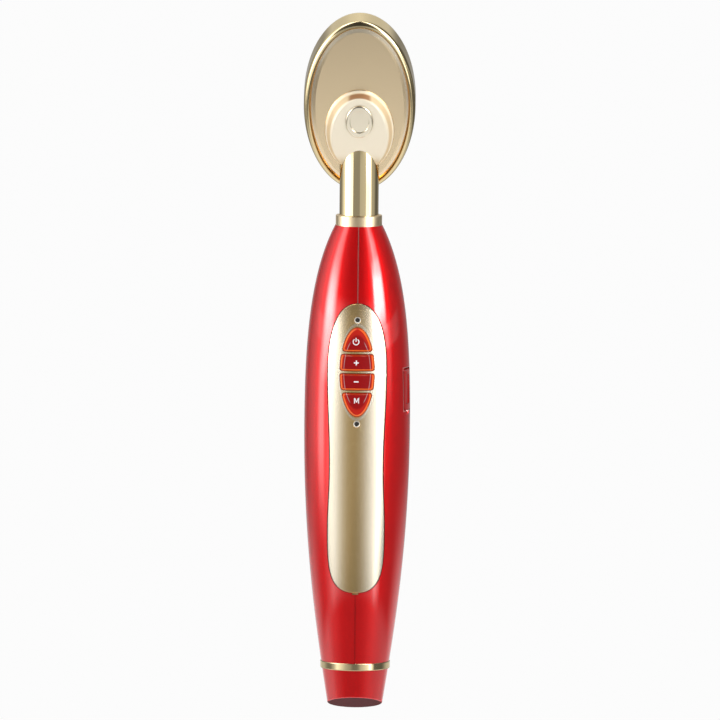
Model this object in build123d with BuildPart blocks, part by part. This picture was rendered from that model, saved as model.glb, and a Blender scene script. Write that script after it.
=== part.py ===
from build123d import *
from math import cos, radians, sin, sqrt, tan
import os

# Heated eye massager wand, in millimetres and degrees.
# The handle stands on the +Z axis, its keys face -Y and its charging port is on the +X side.
# z = 0 is the centre of the slanted end face.

# ------------------------------------------------------------------ driving sizes: handle form
handle_height = 147.5          # end face to the top of the casings
belly_height = 86.5            # height of the thickest place
belly_radius = 16.23
neck_radius = 7.25             # casing radius under the collar
tail_radius = 7.93             # casing form at its lowest end
tail_drop = 3.0                # how far the form runs below the end face's centre
tail_flare = 9.15               # degrees that the tail opens
neck_flare = 27.2              # degrees that the neck closes
tail_pull = 0.278              # curve handles, as shares of the span that they shape
belly_pull_down = 0.433
belly_pull_up = 0.405
neck_pull = 0.245
end_slant = 17.0               # degrees that the end face looks forward

casing_wall = 2.2
rib_thickness = 1.6
cable_hole = 3.4
neck_grip = 3.0                # solid casing around the tube, below the collar
seam_width = 0.3
seam_depth = 0.15

# ------------------------------------------------------------------ driving sizes: end cap and ring
cap_height = 11.1              # end face's centre to the ring
ring_height = 2.25
ring_proud = 0.2
ring_round = 0.25
ring_seat = 0.9                # how far the ring is let into the two pieces it joins
spigot_height = 0.8            # casing stub inside the ring
cap_plug_height = 6.0
cap_plug_wall = 1.6
cap_fillet = 0.5

# ------------------------------------------------------------------ driving sizes: neck
collar_radius = 7.1
collar_height = 3.15
collar_round = 0.3
collar_seat = 1.8              # casing stub inside the collar
collar_skin = 0.45
tube_radius = 6.0
tube_wall = 0.8
tube_tail = 19.5               # tube length inside the casing
clip_height = 8.4              # clip above the tube's lower end
clip_thickness = 1.0
clip_radius = 8.0
clip_groove = 0.4
clip_mouth = 5.0

# ------------------------------------------------------------------ driving sizes: head
head_lean = 25.0               # degrees that the head leans over the keys
head_forward = 9.2            # head centre in front of the handle's axis
head_rise = 33.88               # head centre above the collar
head_half_width = 17.1
head_half_length = 29.8
head_depth = 8.9               # plate face to the crown of the heated face
head_crown = 260.0             # radius of the heated face
head_back_round = 1.6
rim_width = 1.8
rim_proud = 0.4
rim_round = 1.7
ledge_width = 1.0
contact_wall = 1.0
plate_thickness = 1.4
plate_bevel_width = 1.6
plate_bevel_depth = 0.4
boss_half_width = 12.1
boss_half_length = 16.0
boss_below_centre = 8.35
boss_height = 3.35
boss_crown = 90.0
boss_apex_above = 3.55         # crown of the boss above the boss's own centre
boss_draft = 32.0
boss_round = 0.6
boss_root = 1.0
mitre_depth = 4.5              # plate face to the tube's slanted end
tube_reach = 27.25              # highest place of the tube above the collar
plug_half_width = 4.2
plug_half_length = 5.6
plug_above_apex = 1.5
plug_thickness = 1.1
plug_proud = 0.35
plug_round = 0.45
plug_dish_share = 0.67
plug_dish_depth = 0.3
plug_dish_round = 0.15
screw_radius = 1.2
screw_head_radius = 2.2
screw_head_height = 1.2
screw_length = 6.0
screw_slot = 0.5
post_radius = 2.6
heater_thickness = 0.3
heater_margin = 1.2
heater_hole = 0.5
thermistor_radius = 0.9
thermistor_length = 3.2
thermistor_above = 14.0
pad_gap = 0.3
seal_thickness = 0.4
lead_radius = 1.0
lead_back = 1.0                # behind the handle's axis, inside the tube
lead_run = 6.5                 # height over which the lead crosses to the tube
lead_pull_low = 1.5
lead_pull_high = 3.0

# ------------------------------------------------------------------ driving sizes: front panel
panel_thickness = 1.2
panel_proud = 0.2
panel_edge = 0.15
panel_above = 7.3              # panel past the keys' oval
panel_bottom = 35.6
shoulder_above = 0.25          # widest place of the upper half, above the keys' centre
shoulder_half = 9.0
waist_height = 73.9
waist_half = 8.15
hip_height = 55.4              # widest place of the lower half
hip_half = 8.65
panel_top_pull = 0.66          # curve handles, as shares of the spans that they shape
shoulder_pull = 0.62
side_pull = 0.4
hip_pull = 0.66
panel_bottom_pull = 0.94
tab_width = 1.8                # tab for prising the panel off
tab_height = 0.6
tab_sink = 0.3                 # tab's face below the casing's surface
groove_width = 0.22            # shadow groove round the panel
groove_depth = 0.45

# ------------------------------------------------------------------ driving sizes: keys
keys_height = 103.75           # centre of the oval that the four keys share
keys_half_width = 5.2
keys_half_length = 13.5
key_gap = 1.05                 # between one key and the next
key_row_height = 4.85          # plus key and minus key
key_corner = 0.8
key_proud = 0.75
key_bevel = 0.5
key_travel = 0.5
key_flange = 0.35
key_flange_thickness = 0.8
key_stem_radius = 1.5
window_margin = 0.75           # casing window around the keys' flanges
lens_radius = 0.62
lens_flange_radius = 1.3
lens_flange_thickness = 0.5
lens_sink_radius = 1.1
lens_inset = 2.4               # lens centre outside the keys' oval
lens_recess = 0.3

# ------------------------------------------------------------------ driving sizes: electronics
board_depth = 5.9              # casing surface at the keys to the board's face
board_thickness = 1.2
board_half_width = 7.0
board_below = 8.0              # board past the keys' oval, down and up
board_above = 4.4
board_corner = 3.0
board_ledge = 1.0
switch_side = 4.4
switch_height = 1.6
plunger_radius = 0.9
plunger_engaged = 0.7
led_side = 1.6
led_height = 0.7
chip_side = 7.0
chip_height = 1.2
header_width = 5.0
header_height = 4.0
header_depth = 2.2

battery_radius = 7.1
battery_length = 50.0
battery_nub_radius = 2.8
battery_nub_height = 0.8
battery_round = 0.6
battery_base = 24.9
contact_thickness = 0.4
contact_radius = 4.5
foam_thickness = 2.2

motor_radius = 4.0
motor_length = 11.0
motor_back = 3.0               # motor axis behind the handle's axis
motor_boss_radius = 1.6
motor_boss_height = 1.0
sleeve_wall = 1.0
shaft_radius = 0.75
shaft_free = 6.0
motor_room = 10.0              # free height above the motor
shaft_held = 8.0
weight_radius = 3.4
weight_length = 4.0
weight_hub_radius = 1.5
weight_gap = 0.5

# ------------------------------------------------------------------ driving sizes: charging port
port_angle = 74.0              # degrees round from the keys to the port
port_height = 97.6
port_half_length = 6.6
port_half_width = 3.45
port_corner = 1.4
port_floor = 1.4
port_frame = 2.0               # thickened casing around the recess
cover_thickness = 1.6
cover_scoop_radius = 4.5
cover_scoop_depth = 0.5
cover_scoop_margin = 2.1
cover_pin_depth = 1.5
cover_pin_radius = 0.4
cover_knuckle = 1.0
pin_bite = 1.2                 # how far the pin's ends enter the casing
nail_radius = 1.4
nail_rise = 0.5
socket_long = 7.6
socket_short = 2.8
socket_depth = 5.4
socket_wall = 0.35
socket_mouth = 4.0
socket_tongue = 0.7
charge_board_thickness = 1.0
charge_board_long = 15.0
charge_board_deep = 9.5

# ------------------------------------------------------------------ driving sizes: pegs between the casings
peg_radius = 0.9
peg_length = 1.6
peg_boss_radius = 1.7
peg_boss_length = 3.0
peg_inset = 1.4

# ------------------------------------------------------------------ clearances
fit_gap = 0.05                 # located, glued or running fits
slip_gap = 0.15                # pieces laid beside each other
free_gap = 0.3                 # pieces that move past each other
key_clearance = 0.25

big = 400.0                    # longer than the wand, for cutting tools
os.makedirs("parts", exist_ok=True)


# ------------------------------------------------------------------ the handle's spindle form
def casing_points(inset=0.0):
    """Control points of the two curves of the casing's outline, drawn in by inset."""
    lower_span = belly_height + tail_drop
    upper_span = handle_height - belly_height
    tail = (tail_radius - inset, -tail_drop)
    tail_rise = tail_pull * lower_span
    tail_handle = (tail[0] + tail_rise * tan(radians(tail_flare)), tail_rise - tail_drop)
    belly = (belly_radius - inset, belly_height)
    belly_low = (belly[0], belly_height - belly_pull_down * lower_span)
    belly_high = (belly[0], belly_height + belly_pull_up * upper_span)
    neck = (neck_radius - inset, handle_height)
    neck_fall = neck_pull * upper_span
    neck_handle = (neck[0] + neck_fall * tan(radians(neck_flare)), handle_height - neck_fall)
    return [tail, tail_handle, belly_low, belly], [belly, belly_high, neck_handle, neck]


def curve_value(points, axis, t):
    """One coordinate of a cubic curve at its parameter t."""
    a, b, c, d = [point[axis] for point in points]
    s = 1 - t
    return s**3 * a + 3 * s**2 * t * b + 3 * s * t**2 * c + t**3 * d


def casing_radius(height):
    """Outer radius of the casing at a height."""
    lower, upper = casing_points()
    points = lower if height < belly_height else upper
    low, high = 0.0, 1.0
    while high - low > 1e-9:
        middle = (low + high) / 2
        if curve_value(points, 1, middle) < height:
            low = middle
        else:
            high = middle
    return curve_value(points, 0, low)


def spindle(inset, low, high):
    """Solid of the handle's form, drawn in by inset, between two heights."""
    lower, upper = casing_points(inset)
    with BuildPart() as form:
        with BuildSketch(Plane.XZ):
            with BuildLine():
                Bezier(*lower)
                Bezier(*upper)
                Polyline(upper[-1], (0, handle_height), (0, -tail_drop), lower[0])
            make_face()
        revolve(axis=Axis.Z)
        split(bisect_by=Plane.XY.offset(low), keep=Keep.TOP)
        split(bisect_by=Plane.XY.offset(high), keep=Keep.BOTTOM)
    return form.part


def upright(radius, low, high, back=0.0, bore=0.0):
    """Round bar or tube between two heights, its axis behind the handle's axis by back."""
    with BuildPart() as bar:
        with BuildSketch(Plane.XY.offset(low)):
            with Locations((0, back)):
                Circle(radius)
                if bore > 0:
                    Circle(bore, mode=Mode.SUBTRACT)
        extrude(amount=high - low)
    return bar.part


# ------------------------------------------------------------------ places worked out from the sizes
front = Plane.XZ               # local x to the right and y up; extrudes out through the keys' side
ring_top = cap_height + ring_height
collar_top = handle_height + collar_height
tube_low = handle_height - tube_tail
tube_top = collar_top + tube_reach

keys_top = keys_height + keys_half_length
keys_low = keys_height - keys_half_length
lens_heights = (keys_low - lens_inset, keys_top + lens_inset)
flange_depth = panel_thickness + slip_gap
panel_top = keys_top + panel_above
shoulder_height = keys_height + shoulder_above

board_face = casing_radius(keys_height) - board_depth      # in front of the handle's axis
board_back = board_face - board_thickness
board_low = keys_low - board_below
board_high = keys_top + board_above
board_middle = (board_low + board_high) / 2
switch_face = board_face + switch_height
stem_end = switch_face + key_travel + slip_gap

battery_top = battery_base + battery_length + battery_nub_height
pads_low = battery_base - contact_thickness - foam_thickness
pads_high = battery_top + contact_thickness + foam_thickness

# local x runs round the handle towards the back, local y up and local z out of the port
port_out = Vector(sin(radians(port_angle)), -cos(radians(port_angle)), 0)
port_round = Vector(0, 0, 1).cross(port_out)
port_plane = Plane(origin=(0, 0, port_height), x_dir=port_round, z_dir=port_out)
port_side = Plane(origin=(0, 0, port_height), x_dir=port_out, z_dir=-port_round)
port_radius = casing_radius(port_height)
port_depth = 2 * cover_pin_depth + slip_gap                # clears the cover's knuckle as it swings
port_face = port_radius - port_depth
port_back = port_face - port_floor
pin_height = port_half_length - cover_pin_depth - key_clearance
cover_half_length = port_half_length - free_gap
charge_board_face = socket_short / 2 + fit_gap
charge_board_out = port_back - slip_gap

# heights of the ribs, each a web across the casing with the inner pieces' spaces cut out of it
stop_ribs = (pads_low - rib_thickness, pads_high)
battery_ribs = (battery_base + battery_length / 4, battery_base + battery_length * 3 / 4)
port_ribs = (
    port_height - charge_board_long / 2 - rib_thickness / 2,
    port_height + charge_board_long / 2 - rib_thickness / 2,
)
motor_base = port_ribs[1] + rib_thickness + fit_gap
motor_top = motor_base + motor_length
shaft_top = motor_top + motor_boss_height + shaft_free
motor_rib = motor_top - sleeve_wall - rib_thickness
clip_low = tube_low + clip_height
tube_ribs = (clip_low - fit_gap - rib_thickness, clip_low + clip_thickness + fit_gap)
rib_heights = (*stop_ribs, *battery_ribs, *port_ribs, motor_rib, *tube_ribs)
peg_heights = (
    battery_base + battery_length / 2,
    stop_ribs[1] + rib_thickness + peg_boss_radius,
    tube_low - peg_boss_radius - free_gap,
)

# local x across the head, local y up along it, local z out of its plate towards the keys' side
lean = radians(head_lean)
head_plane = Plane(
    origin=(0, -head_forward, collar_top + head_rise),
    x_dir=(1, 0, 0),
    z_dir=(0, -cos(lean), -sin(lean)),
)
boss_centre = -boss_below_centre
boss_apex = boss_centre + boss_apex_above
plug_centre = boss_apex + plug_above_apex
plug_seat = boss_height + plug_proud - plug_thickness
screw_seat = plug_seat - slip_gap - screw_head_height
cavity_half_width = head_half_width - rim_width - ledge_width
cavity_half_length = head_half_length - rim_width - ledge_width
ledge_level = -plate_thickness - seal_thickness
post_level = -plate_thickness - boss_root - slip_gap


# ------------------------------------------------------------------ outlines seen from the keys' side
def key_bands():
    """Lowest and highest height of each key, by name."""
    row_low = keys_height - key_gap / 2 - key_row_height
    row_high = keys_height + key_gap / 2 + key_row_height
    return {
        "power": (row_high + key_gap, keys_top),
        "plus": (keys_height + key_gap / 2, row_high),
        "minus": (row_low, keys_height - key_gap / 2),
        "mode": (keys_low, row_low - key_gap),
    }


def key_outline(low, high, grow=0.0):
    """One key's slice of the oval that the keys share, grown all round."""
    with BuildSketch(front) as outline:
        with Locations((0, keys_height)):
            Ellipse(keys_half_width + grow, keys_half_length + grow)
        with Locations((0, (low + high) / 2)):
            Rectangle(4 * keys_half_width, high - low + 2 * grow, mode=Mode.INTERSECT)
        fillet(outline.vertices(), key_corner + grow / 2)
    return outline.sketch


def panel_outline(grow=0.0):
    """The front panel's outline without its tab, grown all round."""
    top = panel_top + grow
    low = panel_bottom - grow
    shoulder = (shoulder_half + grow, shoulder_height)
    waist = (waist_half + grow, waist_height)
    hip = (hip_half + grow, hip_height)
    upper_pull = (shoulder_height - waist_height) * side_pull
    lower_pull = (waist_height - hip_height) * side_pull
    with BuildSketch(front) as outline:
        with BuildLine():
            Bezier(
                (0, top),
                (shoulder[0] * panel_top_pull, top),
                (shoulder[0], shoulder_height + (top - shoulder_height) * shoulder_pull),
                shoulder,
            )
            Bezier(
                shoulder,
                (shoulder[0], shoulder_height - upper_pull),
                (waist[0], waist_height + upper_pull),
                waist,
            )
            Bezier(
                waist,
                (waist[0], waist_height - lower_pull),
                (hip[0], hip_height + lower_pull),
                hip,
            )
            Bezier(
                hip,
                (hip[0], hip_height - (hip_height - low) * hip_pull),
                (hip[0] * panel_bottom_pull, low),
                (0, low),
            )
            Line((0, low), (0, top))
        make_face()
        mirror(about=Plane.YZ)
    return outline.sketch


def tab_outline(grow=0.0):
    """The small tab at the panel's lower end, grown all round."""
    with BuildSketch(front) as outline:
        with Locations((0, panel_bottom)):
            Rectangle(tab_width + 2 * grow, 2 * (tab_height + grow))
    return outline.sketch


def prism(outline):
    """A front outline pushed out from the handle's axis through the keys' side."""
    with BuildPart() as block:
        extrude(outline, amount=big, dir=(0, -1, 0))
    return block.part


# ------------------------------------------------------------------ forms square to the head
def head_oval(half_width, half_length, high, low, centre=0.0):
    """Oval block square to the head, between two levels."""
    with BuildPart() as block:
        with BuildSketch(head_plane.offset(low)):
            with Locations((0, centre)):
                Ellipse(half_width, half_length)
        extrude(amount=high - low)
    return block.part


def head_round(radius, high, low, centre=0.0):
    """Round block square to the head, between two levels."""
    with BuildPart() as block:
        with BuildSketch(head_plane.offset(low)):
            with Locations((0, centre)):
                Circle(radius)
        extrude(amount=high - low)
    return block.part


def head_ball(inset):
    """Ball whose far side is the heated face, drawn in by inset."""
    with BuildPart() as ball:
        with Locations(head_plane.offset(head_crown - head_depth)):
            Sphere(head_crown - inset)
    return ball.part


def tube_rod(gap):
    """The neck tube's solid form grown by a gap; its upper end is cut square to the head."""
    with BuildPart() as rod:
        add(upright(tube_radius + gap, tube_low - gap, tube_top + gap))
        split(bisect_by=head_plane.offset(-mitre_depth - gap), keep=Keep.TOP)
    return rod.part


# ------------------------------------------------------------------ spaces that the casing leaves
outer_form = spindle(0, ring_top, handle_height)
wall_form = spindle(casing_wall / 2, ring_top, handle_height)
inner_form = spindle(casing_wall, ring_top, handle_height)

with BuildPart() as panel_space:
    add(prism(panel_outline(fit_gap)))
    add(prism(tab_outline(fit_gap)))
    add(spindle(panel_thickness + fit_gap, ring_top, handle_height), mode=Mode.SUBTRACT)

with BuildPart() as groove_space:
    add(prism(panel_outline(groove_width)))
    add(spindle(groove_depth, ring_top, handle_height), mode=Mode.SUBTRACT)

with BuildPart() as seam_space:
    with BuildSketch(Plane.XY):
        Rectangle(seam_width, big)
    extrude(amount=handle_height)
    add(spindle(seam_depth, 0, handle_height), mode=Mode.SUBTRACT)

with BuildPart() as keys_space:
    with BuildSketch(front.offset(board_face)):
        with Locations((0, keys_height)):
            Ellipse(keys_half_width + window_margin, keys_half_length + window_margin)
        for height in lens_heights:
            with Locations((0, height)):
                Circle(lens_flange_radius + free_gap)
    extrude(amount=big)

with BuildPart() as board_space:
    with BuildSketch(front.offset(board_back - slip_gap)) as slot:
        with Locations((0, board_middle)):
            Rectangle(2 * (board_half_width + slip_gap), board_high - board_low + 2 * slip_gap)
        chamfer(slot.vertices().group_by(Axis.Y)[-1], board_corner)
    extrude(amount=board_thickness + 2 * slip_gap)
    with BuildSketch(front.offset(board_back - header_depth - free_gap)):
        with Locations((0, board_middle)):
            Rectangle(2 * (board_half_width - board_ledge), board_high - board_low)
    extrude(amount=header_depth + board_thickness + switch_height + 2 * free_gap)

with BuildPart() as charge_board_space:
    with BuildSketch(port_plane.offset(charge_board_out - charge_board_deep - slip_gap)):
        with Locations((charge_board_face + charge_board_thickness / 2, 0)):
            Rectangle(charge_board_thickness + 2 * slip_gap, charge_board_long + 2 * slip_gap)
    extrude(amount=charge_board_deep + 2 * slip_gap)

battery_space = upright(battery_radius + slip_gap, pads_low, pads_high)
motor_space = upright(
    motor_radius + sleeve_wall + 2 * fit_gap,
    motor_base - fit_gap,
    motor_top + motor_room,
    motor_back,
)
tube_space = upright(tube_radius + fit_gap, tube_low - free_gap, big)

with BuildPart() as ribs:
    for height in rib_heights:
        add(upright(belly_radius, height, height + rib_thickness, 0, cable_hole))
    add(wall_form, mode=Mode.INTERSECT)

with BuildPart() as peg_bosses:
    with BuildSketch(Plane.YZ):
        for height in peg_heights:
            with Locations((casing_radius(height) - casing_wall - peg_inset, height)):
                Circle(peg_boss_radius)
    extrude(amount=peg_boss_length, both=True)
    add(wall_form, mode=Mode.INTERSECT)

# ------------------------------------------------------------------ casing halves
with BuildPart() as casing:
    add(outer_form)
    add(inner_form, mode=Mode.SUBTRACT)
    add(ribs.part)
    add(peg_bosses.part)
    add(upright(collar_radius - collar_skin, handle_height - neck_grip, handle_height + collar_seat))
    add(
        upright(
            casing_radius(ring_top) - ring_seat,
            ring_top - spigot_height,
            ring_top,
            0,
            casing_radius(ring_top) - casing_wall,
        )
    )
    add(panel_space.part, mode=Mode.SUBTRACT)
    add(groove_space.part, mode=Mode.SUBTRACT)
    add(seam_space.part, mode=Mode.SUBTRACT)
    add(keys_space.part, mode=Mode.SUBTRACT)
    add(board_space.part, mode=Mode.SUBTRACT)
    add(battery_space, mode=Mode.SUBTRACT)
    add(motor_space, mode=Mode.SUBTRACT)
    add(tube_space, mode=Mode.SUBTRACT)

with BuildPart() as left_casing:
    add(casing.part)
    split(bisect_by=Plane.YZ, keep=Keep.BOTTOM)
    with BuildSketch(Plane.YZ.offset(-peg_length)):
        for height in peg_heights:
            with Locations((casing_radius(height) - casing_wall - peg_inset, height)):
                Circle(peg_radius)
    extrude(amount=2 * peg_length)

with BuildPart() as port_block:
    with BuildSketch(port_plane.offset(port_back)):
        Rectangle(2 * (port_half_width + port_frame), 2 * (port_half_length + port_frame))
    extrude(amount=big)
    add(outer_form, mode=Mode.INTERSECT)

with BuildPart() as right_casing:
    add(casing.part)
    split(bisect_by=Plane.YZ, keep=Keep.TOP)
    add(port_block.part)
    with BuildSketch(port_plane.offset(port_face)):
        RectangleRounded(2 * port_half_width, 2 * port_half_length, port_corner)
    extrude(amount=big, mode=Mode.SUBTRACT)
    with BuildSketch(port_plane.offset(port_back)):
        Rectangle(socket_short + 2 * slip_gap, socket_long + 2 * slip_gap)
    extrude(amount=big, mode=Mode.SUBTRACT)
    with BuildSketch(port_side):
        with Locations((port_radius - cover_pin_depth, pin_height)):
            Circle(cover_pin_radius + fit_gap)
    extrude(amount=port_half_width + pin_bite, both=True, mode=Mode.SUBTRACT)
    with Locations(port_plane * Location((0, -port_half_length, port_radius + nail_rise))):
        Sphere(nail_radius, mode=Mode.SUBTRACT)
    with BuildSketch(Plane.YZ):
        for height in peg_heights:
            with Locations((casing_radius(height) - casing_wall - peg_inset, height)):
                Circle(peg_radius + fit_gap)
    extrude(amount=peg_length + slip_gap, mode=Mode.SUBTRACT)
    add(charge_board_space.part, mode=Mode.SUBTRACT)

# ------------------------------------------------------------------ front panel, inlaid over the seam
with BuildPart() as panel_tab:
    add(prism(tab_outline()))
    add(spindle(tab_sink, ring_top, handle_height), mode=Mode.INTERSECT)
    add(groove_space.part, mode=Mode.SUBTRACT)
    add(spindle(panel_thickness, ring_top, handle_height), mode=Mode.SUBTRACT)

with BuildPart() as front_panel:
    add(spindle(-panel_proud, ring_top, handle_height))
    add(spindle(panel_thickness, ring_top, handle_height), mode=Mode.SUBTRACT)
    add(prism(panel_outline()), mode=Mode.INTERSECT)
    chamfer(front_panel.faces().sort_by(Axis.Y)[0].edges(), panel_edge)
    add(panel_tab.part)
    for low, high in key_bands().values():
        add(prism(key_outline(low, high, key_clearance)), mode=Mode.SUBTRACT)
    for height in lens_heights:
        with Locations(Plane((0, -casing_radius(height) - panel_proud, height), z_dir=(0, -1, 0))):
            CounterSinkHole(lens_radius + fit_gap, lens_sink_radius, depth=2 * panel_thickness)


# ------------------------------------------------------------------ keys
def key_piece(low, high):
    """A key: crowned cap, flange under the panel and a stem down to its switch."""
    middle = (low + high) / 2
    with BuildPart() as key:
        add(prism(key_outline(low, high)))
        add(spindle(-key_proud, ring_top, handle_height), mode=Mode.INTERSECT)
        add(spindle(flange_depth + fit_gap, ring_top, handle_height), mode=Mode.SUBTRACT)
        chamfer(key.faces().sort_by(Axis.Y)[0].edges(), key_bevel)
    with BuildPart() as flange:
        add(prism(key_outline(low, high, key_flange)))
        add(spindle(flange_depth, ring_top, handle_height), mode=Mode.INTERSECT)
        add(spindle(flange_depth + key_flange_thickness, ring_top, handle_height), mode=Mode.SUBTRACT)
    with BuildPart() as stem:
        with BuildSketch(front.offset(stem_end)):
            with Locations((0, middle)):
                Circle(key_stem_radius)
        extrude(amount=casing_radius(middle) - flange_depth - fit_gap - stem_end)
    with BuildPart() as whole:
        add(key.part)
        add(flange.part)
        add(stem.part)
    return whole


def plunger_piece(low, high):
    """The switch plunger under a key."""
    with BuildPart() as plunger:
        with BuildSketch(front.offset(switch_face - plunger_engaged)):
            with Locations((0, (low + high) / 2)):
                Circle(plunger_radius)
        extrude(amount=stem_end - switch_face + plunger_engaged)
    return plunger


keys = {name: key_piece(low, high) for name, (low, high) in key_bands().items()}
plungers = {name: plunger_piece(low, high) for name, (low, high) in key_bands().items()}

with BuildPart() as tact_switches:
    with BuildSketch(front.offset(board_face)):
        for low, high in key_bands().values():
            with Locations((0, (low + high) / 2)):
                Rectangle(switch_side, switch_side)
    extrude(amount=switch_height)
    with BuildSketch(front.offset(switch_face)):
        for low, high in key_bands().values():
            with Locations((0, (low + high) / 2)):
                Circle(plunger_radius + fit_gap)
    extrude(amount=-(plunger_engaged + key_travel + slip_gap), mode=Mode.SUBTRACT)

# ------------------------------------------------------------------ indicators
with BuildPart() as indicator_lenses:
    for height in lens_heights:
        outer = casing_radius(height)
        with BuildSketch(front.offset(board_face + led_height + slip_gap)):
            with Locations((0, height)):
                Circle(lens_radius)
        extrude(amount=outer + panel_proud - lens_recess - board_face - led_height - slip_gap)
        with BuildSketch(front.offset(outer - flange_depth - lens_flange_thickness)):
            with Locations((0, height)):
                Circle(lens_flange_radius)
        extrude(amount=lens_flange_thickness)

with BuildPart() as indicator_leds:
    with BuildSketch(front.offset(board_face)):
        for height in lens_heights:
            with Locations((0, height)):
                Rectangle(led_side, led_side)
    extrude(amount=led_height)

# ------------------------------------------------------------------ main board
with BuildPart() as main_board:
    with BuildSketch(front.offset(board_back)) as board_outline:
        with Locations((0, board_middle)):
            Rectangle(2 * board_half_width, board_high - board_low)
        chamfer(board_outline.vertices().group_by(Axis.Y)[-1], board_corner)
    extrude(amount=board_thickness)

with BuildPart() as controller_chip:
    with BuildSketch(front.offset(board_back)):
        with Locations((0, keys_height)):
            Rectangle(chip_side, chip_side)
    extrude(amount=-chip_height)

with BuildPart() as wire_header:
    with BuildSketch(front.offset(board_back)):
        with Locations((0, board_high - header_height / 2)):
            Rectangle(header_width, header_height)
    extrude(amount=-header_depth)

# ------------------------------------------------------------------ battery
with BuildPart() as battery_cell:
    add(upright(battery_radius, battery_base, battery_base + battery_length))
    fillet(battery_cell.edges().filter_by(GeomType.CIRCLE), battery_round)
    add(upright(battery_nub_radius, battery_base + battery_length, battery_top))

with BuildPart() as battery_contacts:
    add(upright(contact_radius, battery_base - contact_thickness, battery_base))
    add(upright(contact_radius, battery_top, battery_top + contact_thickness))

with BuildPart() as battery_pads:
    add(upright(battery_radius, pads_low, pads_low + foam_thickness))
    add(upright(battery_radius, pads_high - foam_thickness, pads_high))

# ------------------------------------------------------------------ vibration motor
with BuildPart() as motor_can:
    add(upright(motor_radius, motor_base, motor_top, motor_back))
    add(upright(motor_boss_radius, motor_top, motor_top + motor_boss_height, motor_back))
    add(
        upright(shaft_radius + fit_gap, motor_top - shaft_held - slip_gap, big, motor_back),
        mode=Mode.SUBTRACT,
    )

with BuildPart() as motor_sleeve:
    add(
        upright(
            motor_radius + sleeve_wall + fit_gap,
            motor_base + sleeve_wall,
            motor_top - sleeve_wall / 2,
            motor_back,
            motor_radius + fit_gap,
        )
    )

with BuildPart() as motor_shaft:
    add(upright(shaft_radius, motor_top - shaft_held, shaft_top, motor_back))

weight_low = motor_top + motor_boss_height + weight_gap
with BuildPart() as eccentric_weight:
    with BuildSketch(Plane.XY.offset(weight_low)):
        with Locations((0, motor_back)):
            Circle(weight_radius)
        with Locations((0, motor_back - weight_radius)):
            Rectangle(2 * weight_radius, 2 * weight_radius, mode=Mode.SUBTRACT)
        with Locations((0, motor_back)):
            Circle(weight_hub_radius)
            Circle(shaft_radius + fit_gap, mode=Mode.SUBTRACT)
    extrude(amount=weight_length)

# ------------------------------------------------------------------ charging port
with BuildPart() as charge_board:
    with BuildSketch(port_plane.offset(charge_board_out - charge_board_deep)):
        with Locations((charge_board_face + charge_board_thickness / 2, 0)):
            Rectangle(charge_board_thickness, charge_board_long)
    extrude(amount=charge_board_deep)

with BuildPart() as charging_socket:
    with BuildSketch(port_plane.offset(port_face - slip_gap)):
        RectangleRounded(socket_short, socket_long, socket_short / 3)
    extrude(amount=-socket_depth)
    with BuildSketch(port_plane.offset(port_face - slip_gap)):
        RectangleRounded(
            socket_short - 2 * socket_wall,
            socket_long - 2 * socket_wall,
            socket_short / 3 - socket_wall,
        )
        Rectangle(socket_tongue, socket_long - 5 * socket_wall, mode=Mode.SUBTRACT)
    extrude(amount=-socket_mouth, mode=Mode.SUBTRACT)

scoop_plane = Plane(
    port_plane.from_local_coords((0, 0, port_radius + cover_scoop_radius - cover_scoop_depth))
)
with BuildPart() as port_cover:
    with BuildSketch(port_side):
        with Locations((port_radius - cover_pin_depth, pin_height)):
            Circle(cover_pin_depth - fit_gap)
        with Locations((port_radius - cover_thickness, pin_height)):
            Rectangle(
                2 * cover_thickness,
                cover_half_length + pin_height,
                align=(Align.MIN, Align.MAX),
            )
        with Locations((port_radius - cover_thickness, 0)):
            Rectangle(big, big, align=(Align.MIN, Align.CENTER), mode=Mode.INTERSECT)
        with Locations((port_radius - cover_pin_depth, pin_height)):
            Circle(cover_knuckle)
            Circle(cover_pin_radius + fit_gap, mode=Mode.SUBTRACT)
    extrude(amount=port_half_width - free_gap, both=True)
    add(outer_form, mode=Mode.INTERSECT)
    with BuildSketch(port_plane.offset(port_face)):
        RectangleRounded(
            2 * (port_half_width - free_gap),
            2 * cover_half_length,
            port_corner - free_gap,
        )
    extrude(amount=big, mode=Mode.INTERSECT)
    with BuildSketch(scoop_plane):
        Circle(cover_scoop_radius)
    extrude(amount=port_half_length - cover_scoop_margin, both=True, mode=Mode.SUBTRACT)

with BuildPart() as port_hinge_pin:
    with BuildSketch(port_side):
        with Locations((port_radius - cover_pin_depth, pin_height)):
            Circle(cover_pin_radius)
    extrude(amount=port_half_width + pin_bite - slip_gap, both=True)

# ------------------------------------------------------------------ end cap and ring
end_plane = Plane(
    origin=(0, 0, 0),
    x_dir=(1, 0, 0),
    z_dir=(0, -sin(radians(end_slant)), -cos(radians(end_slant))),
)
plug_radius = casing_radius(ring_top) - casing_wall - fit_gap
with BuildPart() as end_cap:
    add(spindle(0, -tail_drop, cap_height))
    split(bisect_by=end_plane, keep=Keep.BOTTOM)
    fillet(end_cap.edges().sort_by(Axis.Z)[0], cap_fillet)
    add(upright(plug_radius, cap_height, ring_top + cap_plug_height))
    add(
        upright(plug_radius - cap_plug_wall, tail_drop + cap_plug_wall, big),
        mode=Mode.SUBTRACT,
    )

with BuildPart() as end_ring:
    add(
        upright(
            casing_radius(ring_top) + ring_proud,
            cap_height,
            ring_top,
            0,
            casing_radius(ring_top) - ring_seat + fit_gap,
        )
    )
    fillet(end_ring.edges().filter_by(GeomType.CIRCLE).sort_by(SortBy.RADIUS)[-2:], ring_round)

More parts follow.
